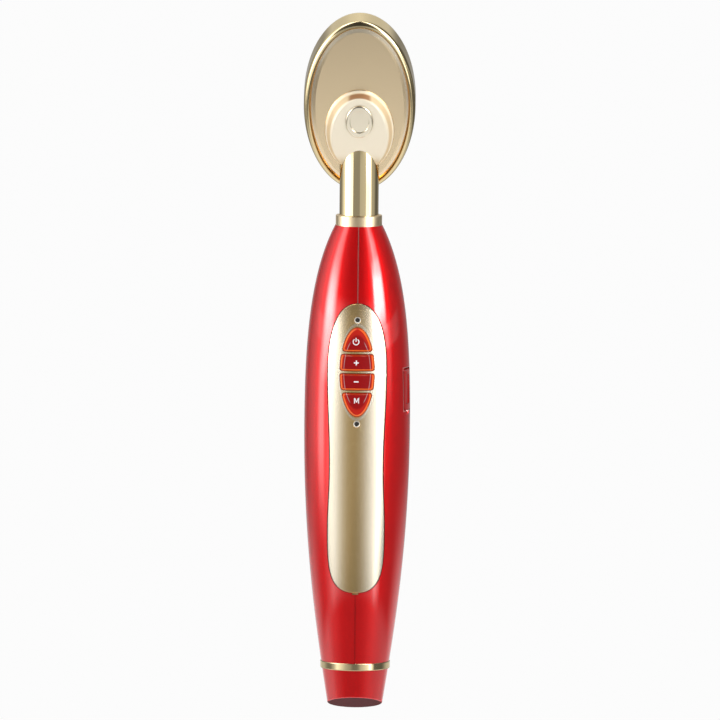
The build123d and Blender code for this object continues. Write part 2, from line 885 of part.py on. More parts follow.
# ------------------------------------------------------------------ neck
with BuildPart() as neck_collar:
    add(upright(collar_radius, handle_height, collar_top, 0, tube_radius + fit_gap))
    fillet(neck_collar.edges().group_by(Axis.Z)[-1], collar_round)
    add(
        upright(
            collar_radius - collar_skin + fit_gap,
            handle_height,
            handle_height + collar_seat + fit_gap,
        ),
        mode=Mode.SUBTRACT,
    )

with BuildPart() as neck_tube:
    add(tube_rod(0))
    add(upright(tube_radius - tube_wall, tube_low, big), mode=Mode.SUBTRACT)
    add(
        upright(
            2 * tube_radius,
            clip_low - fit_gap,
            clip_low + clip_thickness + fit_gap,
            0,
            tube_radius - clip_groove,
        ),
        mode=Mode.SUBTRACT,
    )

with BuildPart() as tube_clip:
    with BuildSketch(Plane.XY.offset(clip_low)):
        Circle(clip_radius)
        Circle(tube_radius - clip_groove + fit_gap, mode=Mode.SUBTRACT)
        with Locations((0, clip_radius)):
            Rectangle(clip_mouth, 2 * clip_radius, mode=Mode.SUBTRACT)
    extrude(amount=clip_thickness)

# ------------------------------------------------------------------ head
tube_room = tube_rod(fit_gap)

with BuildPart() as head_hollow:
    add(head_oval(cavity_half_width, cavity_half_length, big, -2 * head_depth))
    add(head_ball(contact_wall), mode=Mode.INTERSECT)

with BuildPart() as contact_shell:
    add(head_oval(head_half_width, head_half_length, rim_proud, -2 * head_depth))
    add(head_ball(0), mode=Mode.INTERSECT)
    fillet(contact_shell.edges().filter_by(GeomType.BSPLINE)[0], head_back_round)
    fillet(contact_shell.edges().filter_by(GeomType.ELLIPSE)[-1], rim_round)
    add(head_hollow.part, mode=Mode.SUBTRACT)
    add(
        head_oval(head_half_width - rim_width, head_half_length - rim_width, big, ledge_level),
        mode=Mode.SUBTRACT,
    )
    add(head_round(post_radius, post_level, contact_wall - head_depth, plug_centre))
    add(
        head_round(screw_radius + fit_gap, big, screw_seat - screw_length - slip_gap, plug_centre),
        mode=Mode.SUBTRACT,
    )
    add(tube_room, mode=Mode.SUBTRACT)

with BuildPart() as boss:
    with BuildSketch(head_plane.offset(-plate_thickness - boss_root)):
        with Locations((0, boss_centre)):
            Ellipse(boss_half_width, boss_half_length)
    extrude(amount=2 * boss_height + boss_root + plate_thickness, taper=boss_draft)
    with BuildSketch(Plane(head_plane.origin, x_dir=head_plane.y_dir, z_dir=head_plane.x_dir)):
        with Locations((boss_apex, boss_height - boss_crown)):
            Circle(boss_crown)
    extrude(amount=2 * boss_half_width, both=True, mode=Mode.INTERSECT)
    fillet(boss.faces().filter_by(GeomType.CYLINDER).sort_by(SortBy.AREA)[-1].edges(), boss_round)

with BuildPart() as back_plate:
    add(
        head_oval(
            head_half_width - rim_width - slip_gap,
            head_half_length - rim_width - slip_gap,
            0,
            -plate_thickness,
        )
    )
    chamfer(
        back_plate.edges().group_by(Axis((0, 0, 0), head_plane.z_dir))[-1],
        length=plate_bevel_depth,
        length2=plate_bevel_width,
        reference=back_plate.faces().filter_by(GeomType.PLANE, reverse=True)[0],
    )
    add(boss.part)
    add(
        head_oval(plug_half_width + fit_gap, plug_half_length + fit_gap, big, plug_seat, plug_centre),
        mode=Mode.SUBTRACT,
    )
    add(
        head_round(screw_head_radius + slip_gap, big, screw_seat, plug_centre),
        mode=Mode.SUBTRACT,
    )
    add(head_round(screw_radius + slip_gap, big, -big, plug_centre), mode=Mode.SUBTRACT)
    add(tube_room, mode=Mode.SUBTRACT)

with BuildPart() as head_seal:
    add(
        head_oval(
            head_half_width - rim_width - slip_gap,
            head_half_length - rim_width - slip_gap,
            -plate_thickness,
            ledge_level,
        )
    )
    add(head_oval(cavity_half_width, cavity_half_length, big, -big), mode=Mode.SUBTRACT)
    add(tube_rod(slip_gap), mode=Mode.SUBTRACT)

with BuildPart() as screw_plug:
    add(head_oval(plug_half_width, plug_half_length, plug_seat + plug_thickness, plug_seat, plug_centre))
    plug_faces = screw_plug.faces().sort_by(Axis((0, 0, 0), head_plane.z_dir))
    fillet(plug_faces[-1].edges(), plug_round)
    add(
        head_oval(
            plug_half_width * plug_dish_share,
            plug_half_length * plug_dish_share,
            big,
            plug_seat + plug_thickness - plug_dish_depth,
            plug_centre,
        ),
        mode=Mode.SUBTRACT,
    )
    plug_top = screw_plug.faces().filter_by(GeomType.PLANE).sort_by(Axis((0, 0, 0), head_plane.z_dir))[-1]
    fillet(plug_top.inner_wires()[0].edges(), plug_dish_round)

with BuildPart() as plate_screw:
    add(head_round(screw_head_radius, screw_seat + screw_head_height, screw_seat, plug_centre))
    add(head_round(screw_radius, screw_seat, screw_seat - screw_length, plug_centre))
    with BuildSketch(head_plane.offset(screw_seat + screw_head_height)):
        with Locations((0, plug_centre)):
            Rectangle(screw_slot, 3 * screw_head_radius)
            Rectangle(3 * screw_head_radius, screw_slot)
    extrude(amount=-screw_head_height / 2, mode=Mode.SUBTRACT)

with BuildPart() as heater_film:
    add(
        head_oval(
            cavity_half_width - heater_margin,
            cavity_half_length - heater_margin,
            0,
            -2 * head_depth,
        )
    )
    add(head_ball(contact_wall + fit_gap), mode=Mode.INTERSECT)
    add(head_ball(contact_wall + fit_gap + heater_thickness), mode=Mode.SUBTRACT)
    add(head_round(post_radius + heater_hole, big, -big, plug_centre), mode=Mode.SUBTRACT)

pad_back = contact_wall + fit_gap + heater_thickness + thermistor_radius * 2 + fit_gap
with BuildPart() as insulation_pad:
    add(
        head_oval(
            cavity_half_width - heater_margin,
            cavity_half_length - heater_margin,
            -plate_thickness - boss_root - pad_gap,
            -2 * head_depth,
        )
    )
    add(head_ball(pad_back), mode=Mode.INTERSECT)
    add(head_round(post_radius + heater_hole, big, -big, plug_centre), mode=Mode.SUBTRACT)
    add(tube_rod(pad_gap), mode=Mode.SUBTRACT)
    add(upright(lead_radius + pad_gap, tube_low, big, lead_back), mode=Mode.SUBTRACT)

thermistor_reach = head_crown - contact_wall - heater_thickness - 2 * fit_gap - thermistor_radius
thermistor_level = head_crown - head_depth - sqrt(thermistor_reach**2 - thermistor_above**2)
with BuildPart() as thermistor:
    with BuildSketch(
        Plane(
            head_plane.from_local_coords((0, thermistor_above, 0)),
            x_dir=head_plane.y_dir,
            z_dir=head_plane.x_dir,
        )
    ):
        with Locations((0, thermistor_level)):
            Circle(thermistor_radius)
    extrude(amount=thermistor_length / 2, both=True)

lead_start = board_back - header_depth / 2
lead_low = board_high + fit_gap
with BuildPart() as head_lead:
    with BuildLine():
        Bezier(
            (0, -lead_start, lead_low),
            (0, -lead_start, lead_low + lead_pull_low),
            (0, lead_back, lead_low + lead_run - lead_pull_high),
            (0, lead_back, lead_low + lead_run),
        )
        Line((0, lead_back, lead_low + lead_run), (0, lead_back, collar_top + 2 * head_rise))
    with BuildSketch(Plane.XY.offset(lead_low)):
        with Locations((0, -lead_start)):
            Circle(lead_radius)
    sweep()
    add(head_ball(contact_wall + heater_thickness + slip_gap), mode=Mode.INTERSECT)

# ------------------------------------------------------------------ names and files
pieces = {
    "left_casing": left_casing,
    "right_casing": right_casing,
    "front_panel": front_panel,
    **{f"{name}_button": key for name, key in keys.items()},
    **{f"{name}_plunger": plunger for name, plunger in plungers.items()},
    "tact_switches": tact_switches,
    "indicator_lenses": indicator_lenses,
    "indicator_leds": indicator_leds,
    "main_board": main_board,
    "controller_chip": controller_chip,
    "wire_header": wire_header,
    "battery_cell": battery_cell,
    "battery_contacts": battery_contacts,
    "battery_pads": battery_pads,
    "motor_can": motor_can,
    "motor_sleeve": motor_sleeve,
    "motor_shaft": motor_shaft,
    "eccentric_weight": eccentric_weight,
    "charge_board": charge_board,
    "charging_socket": charging_socket,
    "port_cover": port_cover,
    "port_hinge_pin": port_hinge_pin,
    "end_cap": end_cap,
    "end_ring": end_ring,
    "neck_collar": neck_collar,
    "neck_tube": neck_tube,
    "tube_clip": tube_clip,
    "contact_shell": contact_shell,
    "back_plate": back_plate,
    "head_seal": head_seal,
    "screw_plug": screw_plug,
    "plate_screw": plate_screw,
    "heater_film": heater_film,
    "insulation_pad": insulation_pad,
    "thermistor": thermistor,
    "head_lead": head_lead,
}
for name, piece in pieces.items():
    piece.part.label = name
    export_step(piece.part, f"parts/{name}.step")
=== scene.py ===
import math

import bmesh
import bpy
import numpy as np
from bpy.props import FloatProperty, FloatVectorProperty, PointerProperty
from mathutils import Matrix, Vector


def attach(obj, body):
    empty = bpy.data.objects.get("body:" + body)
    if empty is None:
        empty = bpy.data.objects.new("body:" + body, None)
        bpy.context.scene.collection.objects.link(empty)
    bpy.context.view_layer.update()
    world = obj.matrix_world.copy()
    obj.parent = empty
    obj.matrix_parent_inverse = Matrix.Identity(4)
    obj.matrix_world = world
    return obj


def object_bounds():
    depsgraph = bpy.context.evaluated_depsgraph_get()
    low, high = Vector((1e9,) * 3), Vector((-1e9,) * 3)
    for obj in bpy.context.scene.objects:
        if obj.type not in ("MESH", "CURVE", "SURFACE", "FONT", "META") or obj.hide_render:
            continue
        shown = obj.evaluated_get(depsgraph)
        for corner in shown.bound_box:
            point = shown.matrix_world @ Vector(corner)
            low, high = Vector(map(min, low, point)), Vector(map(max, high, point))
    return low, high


bl_info = {
    "name": "Eye massager wand",
    "version": (1, 0, 0),
    "blender": (4, 5, 0),
    "location": "3D View > Sidebar > Wand",
    "description": "Finishes, printed key marks and studio for the heated eye massager wand",
    "category": "Object",
}

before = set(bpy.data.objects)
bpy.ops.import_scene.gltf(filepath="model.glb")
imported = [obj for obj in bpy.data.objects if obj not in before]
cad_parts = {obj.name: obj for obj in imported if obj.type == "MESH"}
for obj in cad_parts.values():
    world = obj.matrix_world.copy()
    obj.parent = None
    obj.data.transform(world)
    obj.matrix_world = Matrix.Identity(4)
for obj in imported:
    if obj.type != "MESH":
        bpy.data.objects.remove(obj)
CAD_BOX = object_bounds()
MM = 0.001

# ------------------------------------------------------------------ the handle's form, as the solids have it
BELLY = (16.23, 86.5)
TAIL = (7.93, -3.0)
NECK = (7.25, 147.5)
TAIL_PULL, TAIL_FLARE = 0.278, math.radians(9.15)
NECK_PULL, NECK_FLARE = 0.245, math.radians(27.2)
BELLY_PULL_DOWN, BELLY_PULL_UP = 0.433, 0.405
CURVE_STEPS = 600


def handle_profile():
    """Heights, radii and slopes of the handle's outline, in metres."""
    low_span = BELLY[1] - TAIL[1]
    high_span = NECK[1] - BELLY[1]
    low_rise = TAIL_PULL * low_span
    high_fall = NECK_PULL * high_span
    curves = [
        [
            TAIL,
            (TAIL[0] + low_rise * math.tan(TAIL_FLARE), TAIL[1] + low_rise),
            (BELLY[0], BELLY[1] - BELLY_PULL_DOWN * low_span),
            BELLY,
        ],
        [
            BELLY,
            (BELLY[0], BELLY[1] + BELLY_PULL_UP * high_span),
            (NECK[0] + high_fall * math.tan(NECK_FLARE), NECK[1] - high_fall),
            NECK,
        ],
    ]
    t = np.linspace(0, 1, CURVE_STEPS)[:, None]
    weights = np.hstack([(1 - t) ** 3, 3 * (1 - t) ** 2 * t, 3 * (1 - t) * t**2, t**3])
    path = np.vstack([weights @ np.array(c) for c in curves]) * MM
    keep = np.append(np.diff(path[:, 1]) > 1e-9, True)
    path = path[keep]
    return path[:, 1], path[:, 0], np.gradient(path[:, 0], path[:, 1])


HEIGHTS, RADII, SLOPES = handle_profile()


def handle_radius(height):
    """Radius of the casing at a height."""
    return float(np.interp(height, HEIGHTS, RADII))


# ------------------------------------------------------------------ sizes and colours to change
def colour(name, description, default):
    return FloatVectorProperty(
        name=name, description=description, default=default, subtype="COLOR", size=3, min=0, max=1
    )


def length(name, description, default):
    return FloatProperty(
        name=name, description=description, default=default, unit="LENGTH", subtype="DISTANCE"
    )


def share(name, description, default):
    return FloatProperty(
        name=name, description=description, default=default, subtype="FACTOR", min=0, max=1
    )


class WandFinishes(bpy.types.PropertyGroup):
    """Colours of the wand's finishes."""

    paint: colour("Paint", "Base coat of the handle", (0.85, 0.004, 0.006))
    paint_deep: colour("Deep paint", "Paint between the flakes", (0.70, 0.0015, 0.003))
    # painted shade: the dark paint in the grooves, between parts and on the end face
    painted_shade_red: colour("Paint shadow", "Paint in the groove and on the end face", (0.10, 0.004, 0.006))
    # painted highlight: the pale line along the seam and round the port's lip
    highlight_pink: colour("Edge pink", "Paint worn pale at the seam and the port's lip", (0.80, 0.42, 0.40))
    panel_gold: colour("Panel gold", "Middle of the front panel", (0.90, 0.63, 0.28))
    # painted highlight: the paler gold of the panel's sides
    panel_highlight_pale: colour("Pale panel gold", "Sides of the front panel", (0.93, 0.84, 0.67))
    satin_gold: colour("Satin gold", "Collar and head plate", (0.95, 0.76, 0.49))
    boss_gold: colour("Boss gold", "Raised boss of the head plate", (0.95, 0.86, 0.68))
    # painted shade on the slope round the head's boss
    boss_slope_shade: colour("Boss slope", "Duller gold of the slope round the head's boss", (0.74, 0.57, 0.33))
    # painted reflection: the dark crescent at the top of the head's boss
    boss_dark_reflection: colour("Boss shadow", "Heat tint at the top of the head's boss", (0.30, 0.10, 0.02))
    bright_gold: colour("Bright gold", "Polished ring, tube and rim", (0.84, 0.69, 0.40))
    # painted shade: the darker orange gold on the wall of the head's recess
    groove_shade_gold: colour("Groove gold", "Tarnish in the narrow grooves", (0.70, 0.36, 0.09))
    key_red: colour("Key red", "Top of the keys", (0.26, 0.0, 0.001))
    # painted glow: lighter red near the keys' edges
    key_painted_glow: colour("Key glow", "Red near the keys' edges", (0.60, 0.02, 0.008))
    # painted light: the orange glow of the keys' bevels, also emitted
    key_bevel_painted_light: colour("Key edge", "Lit bevel round the keys", (0.90, 0.17, 0.03))
    # also the painted highlight of the keys' pale inner lines
    mark: colour("Mark", "Print on the keys", (0.90, 0.86, 0.88))
    floor: colour("Floor", "Studio floor", (0.86, 0.86, 0.86))


class WandMarks(bpy.types.PropertyGroup):
    """Sizes of the printed key marks."""

    stroke: length("Stroke", "Width of the printed lines", 0.0003)
    ring: length("Ring", "Outer radius of the power mark", 0.00103)
    arm: length("Arm", "Half length of the plus and minus marks", 0.00074)
    letter: length("Letter", "Half height of the mode mark", 0.00084)
    relief: length("Relief", "Thickness of the print", 0.00003)


class WandStudio(bpy.types.PropertyGroup):
    """Camera and light."""

    camera_distance: length("Distance", "Camera to the wand", 6.13)
    camera_height: FloatProperty(
        name="Elevation",
        description="Camera above the horizon",
        default=math.radians(6.0),
        subtype="ANGLE",
    )
    camera_azimuth: FloatProperty(
        name="Azimuth",
        description="Camera round the wand from the keys' side",
        default=math.radians(0.5),
        subtype="ANGLE",
    )
    camera_roll: FloatProperty(
        name="Roll", description="Tilt of the picture", default=math.radians(0.5), subtype="ANGLE"
    )
    floor_drop: length("Floor drop", "Floor below the wand's lowest point", 0.35)
    lamp_share: share("Lamp level", "Level of the soft lamps", 0.5)


GROUPS = {
    "wand_finishes": WandFinishes,
    "wand_marks": WandMarks,
    "wand_studio": WandStudio,
}


# ------------------------------------------------------------------ shader values as Python expressions
class Value:
    """A socket of a node graph that Python's operators work on."""

    def __init__(self, graph, out):
        self.graph = graph
        self.out = out

    def maths(self, operation, first, second):
        return self.graph.node("ShaderNodeMath", {"operation": operation}, {0: first, 1: second})

    def __add__(self, other):
        return self.maths("ADD", self, other)

    def __radd__(self, other):
        return self.maths("ADD", other, self)

    def __sub__(self, other):
        return self.maths("SUBTRACT", self, other)

    def __rsub__(self, other):
        return self.maths("SUBTRACT", other, self)

    def __mul__(self, other):
        return self.maths("MULTIPLY", self, other)

    def __rmul__(self, other):
        return self.maths("MULTIPLY", other, self)

    def __truediv__(self, other):
        return self.maths("DIVIDE", self, other)

    def __pow__(self, other):
        return self.maths("POWER", self, other)

    def __abs__(self):
        return self.maths("ABSOLUTE", self, 0.0)

    def __gt__(self, other):
        return self.maths("GREATER_THAN", self, other)

    def least(self, other):
        return self.maths("MINIMUM", self, other)

    def most(self, other):
        return self.maths("MAXIMUM", self, other)

    def ramp(self, low, high):
        """0 below low, 1 above high, smooth between."""
        return self.graph.node(
            "ShaderNodeMapRange",
            {"interpolation_type": "SMOOTHSTEP"},
            {0: self, 1: low, 2: high, 3: 0.0, 4: 1.0},
        )


class Graph:
    """Builds the nodes of one material, light or world."""

    def __init__(self, tree):
        self.tree = tree
        self.tree.nodes.clear()

    def node(self, kind, settings=None, inputs=None, out=0):
        made = self.tree.nodes.new(kind)
        for name, value in (settings or {}).items():
            if name == "stops":
                self.set_stops(made.color_ramp, value)
            else:
                setattr(made, name, value)
        for name, value in (inputs or {}).items():
            if isinstance(value, Value):
                self.tree.links.new(value.out, made.inputs[name])
            elif value is not None:
                made.inputs[name].default_value = value
        return Value(self, made.outputs[out]) if made.outputs else None

    @staticmethod
    def set_stops(ramp, stops):
        while len(ramp.elements) < len(stops):
            ramp.elements.new(0.5)
        for element, (place, tone) in zip(ramp.elements, stops):
            element.position = place
            element.color = (*tone, 1) if hasattr(tone, "__len__") else (tone, tone, tone, 1)

    def place(self):
        """Position on the piece, in the wand's frame, in metres."""
        return self.node("ShaderNodeTexCoord", out="Object")

    def parts(self, vector):
        split = self.node("ShaderNodeSeparateXYZ", None, {0: vector})
        return [Value(self, split.out.node.outputs[i]) for i in range(3)]

    def noise(self, scale, detail=3.0, stretch=(1, 1, 1)):
        spread = self.node(
            "ShaderNodeVectorMath", {"operation": "MULTIPLY"}, {0: self.place(), 1: stretch}
        )
        return self.node(
            "ShaderNodeTexNoise", None, {"Vector": spread, "Scale": scale, "Detail": detail}
        )

    def mix(self, factor, first, second):
        first, second = [
            c if isinstance(c, Value) else (*tuple(c)[:3], 1.0) for c in (first, second)
        ]
        return self.node(
            "ShaderNodeMix", {"data_type": "RGBA"}, {0: factor, 6: first, 7: second}, out=2
        )

    def bump(self, height, strength, distance):
        return self.node(
            "ShaderNodeBump", None, {"Strength": strength, "Distance": distance, "Height": height}
        )

    def shader(self, **inputs):
        return self.node(
            "ShaderNodeBsdfPrincipled",
            None,
            {name.replace("_", " "): value for name, value in inputs.items()},
        )

    def finish(self, shader, kind="ShaderNodeOutputMaterial"):
        self.node(kind, None, {"Surface": shader})


def between(value, rise, fall):
    """1 between two smooth steps."""
    return value.ramp(*rise) * (1.0 - value.ramp(*fall))


def new_material(name):
    made = bpy.data.materials.new(name)
    made.use_nodes = True
    return made, Graph(made.node_tree)


def dress(material, *names):
    """Gives CAD nodes a material."""
    for name in names:
        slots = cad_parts[name].data.materials
        slots.clear()
        slots.append(material)


def dim(tone, level):
    """A colour at a share of its brightness."""
    return tuple(c * level for c in tone)


# ------------------------------------------------------------------ finishes
# grains, in cells to the metre, and the depth of the fine ones
FINE_GRAIN = 9000.0
BROAD_GRAIN = 60.0
POLISH_GRAIN = 2400.0
FLAKE_GRAIN = 5200.0
CLOUD_GRAIN = 90.0
MOULD_GRAIN = 1500.0
GRAIN_DEPTH = 0.00002
MOULD_DEPTH = 0.00003
# share of the fine grain in a blasted surface, and metal lost where one is dull
FINE_SHARE = 0.6
METAL_LOSS = 0.75
# how much the flakes and the broad clouds lighten the base coat
FLAKE_LIGHT, CLOUD_LIGHT = 0.35, 0.5
# the charging port: direction round the handle, height, and half width and length
PORT_TURN = math.radians(74)
PORT_HEIGHT = 0.0976
PORT_HALF = (0.00345, 0.0066)
# the seam's painted highlight shows behind, and in front from the panel's top up
PANEL_TOP = (0.1235, 0.1240)
# half width of the seam's pale line and width of the one round the port, both painted highlights, and how
# pale both are
SEAM_HIGHLIGHT_HALF = (0.00010, 0.00022)
LIP_HIGHLIGHT_WIDTH = ((-0.0001, 0.0), (0.00015, 0.0003))
EDGE_HIGHLIGHT = 0.7
# the slanted end face by its normal's tilt, and how dark its painted shade is
END_FACE = (-0.92, -0.85)
END_FACE_SHADE = 0.95
# how near a wall must be to paint shade into the paint, at which openness, and how much clear coat the
# painted shade takes
GROOVE_REACH = 0.0005
GROOVE_SHADE = (0.25, 0.65)
COAT_LOSS = 0.9


def candy_paint(name):
    """Clear-coated red paint over fine metal flake, with painted highlights along the seam and the port's
    lip and painted shade in the grooves and on the end face.
    """
    finishes = bpy.context.scene.wand_finishes
    material, g = new_material(name)
    flakes = g.node(
        "ShaderNodeTexVoronoi",
        {"feature": "F1"},
        {"Vector": g.place(), "Scale": FLAKE_GRAIN},
        out="Color",
    )
    spark = g.parts(flakes)[0]
    cloud = g.noise(CLOUD_GRAIN)
    base = g.mix(spark * FLAKE_LIGHT + cloud * CLOUD_LIGHT, finishes.paint_deep, finishes.paint)
    x, y, z = g.parts(g.place())
    # painted highlight: a pale line along the seam and round the port's lip
    seam = (1.0 - abs(x).ramp(*SEAM_HIGHLIGHT_HALF)) * z.ramp(*PANEL_TOP).most(y > 0.0)
    around = abs(x * math.cos(PORT_TURN) + y * math.sin(PORT_TURN)) - PORT_HALF[0]
    along = abs(z - PORT_HEIGHT) - PORT_HALF[1]
    lip = between(around.most(along), *LIP_HIGHLIGHT_WIDTH) * (x > 0.0)
    nz = g.parts(g.node("ShaderNodeNewGeometry", out="True Normal"))[2]
    foot = 1.0 - nz.ramp(*END_FACE)
    base = g.mix(seam.most(lip) * EDGE_HIGHLIGHT * (1.0 - foot), base, finishes.highlight_pink)
    # painted shade: ambient occlusion darkens the paint in grooves and between parts, and the end face is
    # darkened too
    opening = g.node(
        "ShaderNodeAmbientOcclusion", {"samples": 4}, {"Distance": GROOVE_REACH}, out="AO"
    )
    shade = (1.0 - opening.ramp(*GROOVE_SHADE)).most(foot * END_FACE_SHADE)
    base = g.mix(shade, base, finishes.painted_shade_red)
    g.finish(
        g.shader(
            Base_Color=base,
            Metallic=0.70,
            Roughness=0.36 + spark * 0.06,
            Specular_IOR_Level=0.0,
            Coat_Weight=1.0 - shade * COAT_LOSS,
            Coat_Roughness=0.03,
            Coat_IOR=1.8,
        )
    )
    return material


def blasted(g, grain=FINE_GRAIN):
    """The fine grain of a blasted surface, alone and with broad clouds."""
    fine = g.noise(grain, 2.0)
    return fine, fine * FINE_SHARE + g.noise(BROAD_GRAIN) * (1 - FINE_SHARE)


def satin_metal(name, tone, roughness, grain=FINE_GRAIN):
    """Fine-blasted plated metal."""
    material, g = new_material(name)
    fine, clouded = blasted(g, grain)
    g.finish(
        g.shader(
            Base_Color=g.mix(clouded, dim(tone, 0.92), tone),
            Metallic=1.0,
            Roughness=(roughness - 0.03) + fine * 0.06,
            Normal=g.bump(fine, 0.12, GRAIN_DEPTH),
        )
    )
    return material


def polished_metal(name, tone, roughness):
    """Bright plate with faint lengthwise polishing lines."""
    material, g = new_material(name)
    lines = g.noise(POLISH_GRAIN, 2.0, (1, 1, 0.02))
    g.finish(
        g.shader(
            Base_Color=g.mix(lines, dim(tone, 0.95), tone),
            Metallic=1.0,
            Roughness=(roughness - 0.01) + lines * 0.03,
        )
    )
    return material


# the head's own axes: centre of its plate, lean, and the recess and boss that lie in it
HEAD_CENTRE = (-0.0092, 0.18453)
HEAD_LEAN = math.radians(25)
RECESS = (0.0153, 0.0280)
# how near the recess's wall its painted shade, a darker orange gold, reaches, as a share of the recess
WALL_SHADE_REACH = (0.006, 0.016)
# the plate's pale edge, a painted highlight, as shares of the recess; then heights on the boss above the
# plate, for the painted shade on its slope and the painted dark reflection at its top
PLATE_EDGE = (0.925, 0.955)
PLATE_EDGE_GLEAM = 0.7
BOSS_RISE = (0.0001, 0.0004)
BOSS_SLOPE = ((0.0007, 0.0012), (0.0022, 0.0028))
BOSS_CRESCENT = ((0.0010, 0.0014), (0.0024, 0.0028))
# the painted dark reflection's end along the head, and its half width
BOSS_TOP = (0.0020, 0.0030)
CRESCENT_HALF = (0.0026, 0.0040)
# how strong the slope's painted shade and the crescent's painted dark reflection are
SLOPE_SHADE, CRESCENT_SHADE = 0.9, 0.8


def head_place(g):
    """Places on the head: across it, along it and above its plate, in metres."""
    x, y, z = g.parts(g.place())
    back, up = y - HEAD_CENTRE[0], z - HEAD_CENTRE[1]
    along = up * math.cos(HEAD_LEAN) - back * math.sin(HEAD_LEAN)
    above = 0.0 - (back * math.cos(HEAD_LEAN) + up * math.sin(HEAD_LEAN))
    return x, along, above


def recess_oval(x, along):
    """0 at the middle of the head, 1 along the wall of its recess."""
    return ((x / RECESS[0]) ** 2 + (along / RECESS[1]) ** 2) ** 0.5


def head_shell_metal(name):
    """Polished rim with painted shade, a darker orange gold, on the wall of the recess."""
    finishes = bpy.context.scene.wand_finishes
    material, g = new_material(name)
    x, along = head_place(g)[:2]
    # painted shade on the wall of the recess
    tint = 1.0 - abs(recess_oval(x, along) - 1.0).ramp(*WALL_SHADE_REACH)
    lines = g.noise(POLISH_GRAIN, 2.0, (1, 1, 0.05))
    gold = finishes.bright_gold
    g.finish(
        g.shader(
            Base_Color=g.mix(tint, g.mix(lines, dim(gold, 0.95), gold), finishes.groove_shade_gold),
            Metallic=1.0,
            Roughness=0.10 + lines * 0.03 + tint * 0.2,
        )
    )
    return material


def head_plate_metal(name):
    """Satin plate whose raised boss is paler and duller, with painted shade on the boss's slope, a painted
    dark reflection at its top and a painted highlight along the plate's edge.
    """
    finishes = bpy.context.scene.wand_finishes
    material, g = new_material(name)
    x, along, above = head_place(g)
    boss = above.ramp(*BOSS_RISE)
    fine, clouded = blasted(g)
    plate = g.mix(clouded, dim(finishes.satin_gold, 0.93), finishes.satin_gold)
    # painted shade on the boss's slope and a painted dark reflection at its top
    slope = between(above, *BOSS_SLOPE)
    crescent = between(above, *BOSS_CRESCENT) * along.ramp(*BOSS_TOP)
    crescent = crescent * (1.0 - abs(x).ramp(*CRESCENT_HALF))
    raised = g.mix(slope * SLOPE_SHADE, finishes.boss_gold, finishes.boss_slope_shade)
    raised = g.mix(crescent * CRESCENT_SHADE, raised, finishes.boss_dark_reflection)
    # painted highlight along the plate's edge
    edge = recess_oval(x, along).ramp(*PLATE_EDGE) * PLATE_EDGE_GLEAM
    plate = g.mix(edge, plate, finishes.boss_gold)
    g.finish(
        g.shader(
            Base_Color=g.mix(boss, plate, raised),
            Metallic=1.0 - boss * METAL_LOSS,
            Roughness=0.22 + boss * 0.2 + fine * 0.05,
            Normal=g.bump(fine, 0.1, GRAIN_DEPTH),
        )
    )
    return material


# the oval that the four keys share: centre height, half width and half length
KEYS_OVAL = (0.10375, 0.0052, 0.0135)
KEY_GRAIN = 1400.0
# bevels by how far they face away from the crown; the rim's painted glow and its pale line, a painted
# highlight, as shares of the oval
KEY_BEVEL = (0.80, 0.93)
KEY_RIM = (0.80, 0.88)
KEY_LINE = ((0.755, 0.785), (0.785, 0.815))
KEY_LINE_SIDES = (0.0018, 0.0026)
# painted glow of the side bevels, of those that face down, and of all others
SIDE_GLOW, UNDER_GLOW, LEAST_GLOW = 1.5, 0.8, 0.12
FACES_DOWN = (-0.2, -0.6)
# how much the pale line's painted highlight and the bevels' painted glow show, at least and by the grain,
# and the keys' painted inner glow, which they emit
LINE_SHOWS = (0.12, 0.3)
EDGE_SHOWS = (0.6, 0.4)
KEY_PAINTED_INNER_GLOW = ((0.10, 0.0, 0.0), (0.22, 0.01, 0.0))
# the panel: its indicators, where its middle lies and where its sides turn pale with a painted highlight
LENS_HEIGHTS = (0.08785, 0.11965)
PANEL_MIDDLE = -0.0010
PANEL_HIGHLIGHT_FADE = (0.0002, 0.0062)
# its lips round the keys, a painted highlight, as shares of the oval, and the countersinks' edge in
# millimetres
KEY_LIPS = ((1.03, 1.06), (1.08, 1.13))
LIP_GLEAM = 0.45
SINK_EDGE = (0.95, 1.0)
SINK_GOLD = (0.97, 0.93, 0.84)


def keys_oval(g):
    """0 at the middle of the keys' oval, 1 along its edge."""
    x, _, z = g.parts(g.place())
    middle, wide, tall = KEYS_OVAL
    return ((x / wide) ** 2 + ((z - middle) / tall) ** 2) ** 0.5


